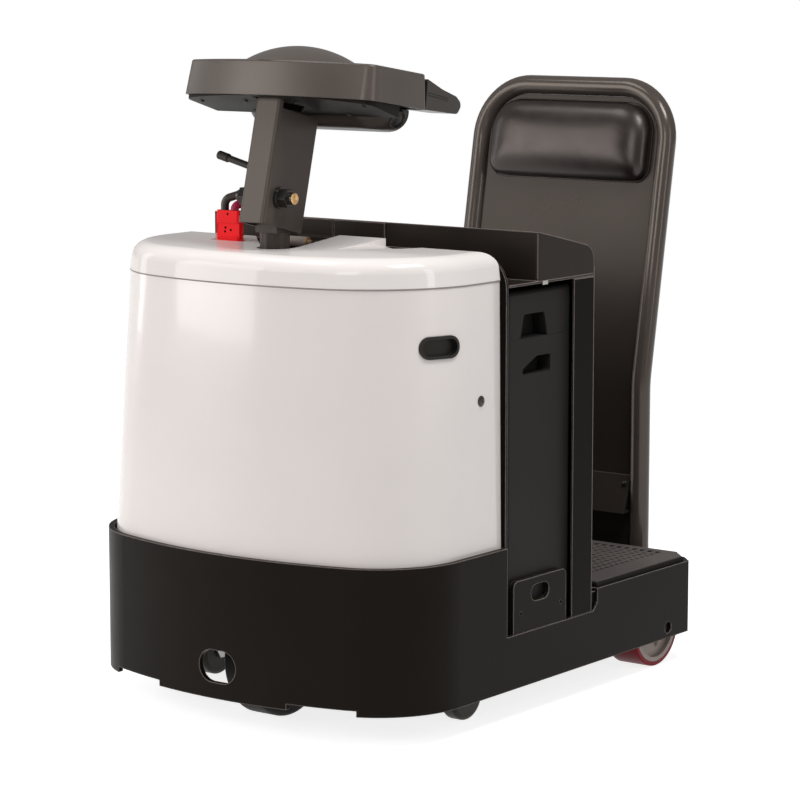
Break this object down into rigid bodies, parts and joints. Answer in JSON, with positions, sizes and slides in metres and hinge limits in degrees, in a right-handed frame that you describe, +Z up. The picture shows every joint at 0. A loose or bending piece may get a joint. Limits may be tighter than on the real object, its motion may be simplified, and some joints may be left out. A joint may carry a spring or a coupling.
{
  "type": "stand-on tow tractor",
  "caption": "Stand-on electric tow tractor: rounded bumper and white hood, steering head on a leaning post, battery bay, matted platform, padded backrest and a pin hitch.",
  "frame": {"origin": "on the floor under the middle of the part's bounding box", "axes": "+X to the driver's left when facing the front, +Y to the rear (the tow hitch), +Z up; the nose points to -Y"},
  "size_m": [0.853, 1.2964, 1.3499],
  "materials": {
    "frame_black": "satin brown-black paint",
    "hood_white": "smooth warm white moulding",
    "column_grey": "satin warm grey paint",
    "steel": "machined steel",
    "bolt_black": "gloss black bolt and nuts",
    "drive_iron": "rough casting",
    "battery_black": "dull black case",
    "mat_rubber": "ribbed rubber mat",
    "black_rubber": "soft black rubber",
    "pad_leather": "dark brown-black leatherette",
    "head_plastic": "fine-grained grey plastic",
    "connector_red": "red moulded connector",
    "lead_black": "black lead sheath",
    "lead_red": "red lead sheath",
    "stop_beige": "beige plastic with a brass screw",
    "tread_red": "dark red polyurethane",
    "tyre_black": "black drive tyre",
    "hub_grey": "painted casting"
  },
  "bodies": {
    "truck": {"chassis_frame": "frame_black", "drive_plate": "frame_black", "front_bulkhead": "frame_black", "battery_tray": "frame_black", "rear_bulkhead": "frame_black", "console": "frame_black", "platform": "frame_black", "platform_mat": "mat_rubber", "hood_cover": "hood_white", "hood_grommets": "black_rubber", "hood_lid": "hood_white", "stop_tube": "stop_beige", "battery_case": "battery_black", "battery_cap": "battery_black", "battery_retainers": "frame_black", "charge_connector": "connector_red", "lead_black": "lead_black", "lead_red": "lead_red", "backrest_frame": "column_grey", "backrest_panel": "column_grey", "backrest_pad": "pad_leather", "backrest_brackets": "frame_black", "tow_hitch": "frame_black", "rear_axles": "steel", "caster_posts": "frame_black"},
    "steering": {"steering_tube": "column_grey", "steering_post": "column_grey", "post_pivot": "bolt_black", "head_housing": "head_plastic", "head_base": "head_plastic", "head_pod": "head_plastic", "hand_grips": "head_plastic", "tilt_lever": "black_rubber", "drive_unit": "drive_iron"},
    "drive_wheel": {"drive_hub": "hub_grey", "drive_tyre": "tyre_black"},
    "rear_wheel_left": {"rear_hub_left": "hub_grey", "rear_tread_left": "tread_red"},
    "caster_left": {"caster_fork_left": "steel"},
    "caster_roll_left": {"caster_wheel_left": "black_rubber"},
    "rear_wheel_right": {"rear_hub_right": "hub_grey", "rear_tread_right": "tread_red"},
    "caster_right": {"caster_fork_right": "steel"},
    "caster_roll_right": {"caster_wheel_right": "black_rubber"}
  },
  "joints": [
    {"name": "steer", "type": "hinge", "parent": "truck", "child": "steering", "pos_m": [0, -0.45871, 0.3], "axis": [0, 0, 1], "range_deg": [-90, 90]},
    {"name": "drive_spin", "type": "hinge", "parent": "steering", "child": "drive_wheel", "pos_m": [0, -0.45871, 0.127], "axis": [1, 0, 0], "continuous": true},
    {"name": "rear_spin_left", "type": "hinge", "parent": "truck", "child": "rear_wheel_left", "pos_m": [0.359, 0.35529, 0.089], "axis": [1, 0, 0], "continuous": true},
    {"name": "caster_swivel_left", "type": "hinge", "parent": "truck", "child": "caster_left", "pos_m": [0.328, -0.30271, 0.13], "axis": [0, 0, 1], "continuous": true},
    {"name": "caster_spin_left", "type": "hinge", "parent": "caster_left", "child": "caster_roll_left", "pos_m": [0.328, -0.27471, 0.051], "axis": [1, 0, 0], "continuous": true},
    {"name": "rear_spin_right", "type": "hinge", "parent": "truck", "child": "rear_wheel_right", "pos_m": [-0.359, 0.35529, 0.089], "axis": [1, 0, 0], "continuous": true},
    {"name": "caster_swivel_right", "type": "hinge", "parent": "truck", "child": "caster_right", "pos_m": [-0.328, -0.30271, 0.13], "axis": [0, 0, 1], "continuous": true},
    {"name": "caster_spin_right", "type": "hinge", "parent": "caster_right", "child": "caster_roll_right", "pos_m": [-0.328, -0.27471, 0.051], "axis": [1, 0, 0], "continuous": true}
  ]
}
